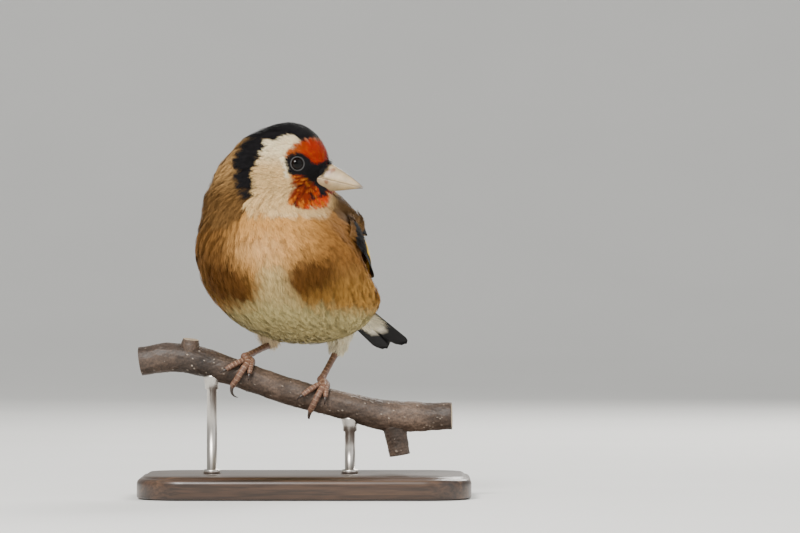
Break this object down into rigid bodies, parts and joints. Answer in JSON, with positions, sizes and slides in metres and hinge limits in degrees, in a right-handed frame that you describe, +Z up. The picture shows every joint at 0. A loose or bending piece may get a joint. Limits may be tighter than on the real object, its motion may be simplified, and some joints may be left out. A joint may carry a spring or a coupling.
{
  "type": "european goldfinch perched on a cut branch",
  "caption": "Life-size fluffed goldfinch gripping a short cut branch, head turned to its left, held over a flat wooden base by short rods.",
  "frame": {"origin": "centre of the underside of the stand's base", "axes": "+Z up, -Y towards the viewer of the picture, +X to that viewer's right, which is the bird's left"},
  "size_m": [0.0965, 0.0974, 0.1079],
  "materials": {
    "plumage": "soft feathers",
    "face": "soft feathers",
    "flight_feathers": "smooth stiff feathers",
    "bill": "smooth horn",
    "eye": "wet gloss",
    "leg_skin": "scaly",
    "claw": "horn",
    "bark": "thin rough bark with cut ends",
    "base_wood": "dark satin varnish",
    "rod_steel": "satin"
  },
  "bodies": {
    "root": {"head": "face", "neck": "plumage", "torso": "plumage", "bill_upper": "bill", "bill_lower": "bill", "eye_left": "eye", "eye_right": "eye", "wing_left": "flight_feathers", "wing_right": "flight_feathers", "tail": "flight_feathers", "thigh_left": "plumage", "thigh_right": "plumage", "tarsus_left": "leg_skin", "tarsus_right": "leg_skin", "foot_left": "leg_skin", "foot_right": "leg_skin", "claw_left_hallux": "claw", "claw_left_inner": "claw", "claw_left_middle": "claw", "claw_left_outer": "claw", "claw_right_hallux": "claw", "claw_right_inner": "claw", "claw_right_middle": "claw", "claw_right_outer": "claw", "perch": "bark", "stand_base": "base_wood", "stand_rod_left": "rod_steel", "stand_rod_right": "rod_steel"}
  },
  "joints": []
}
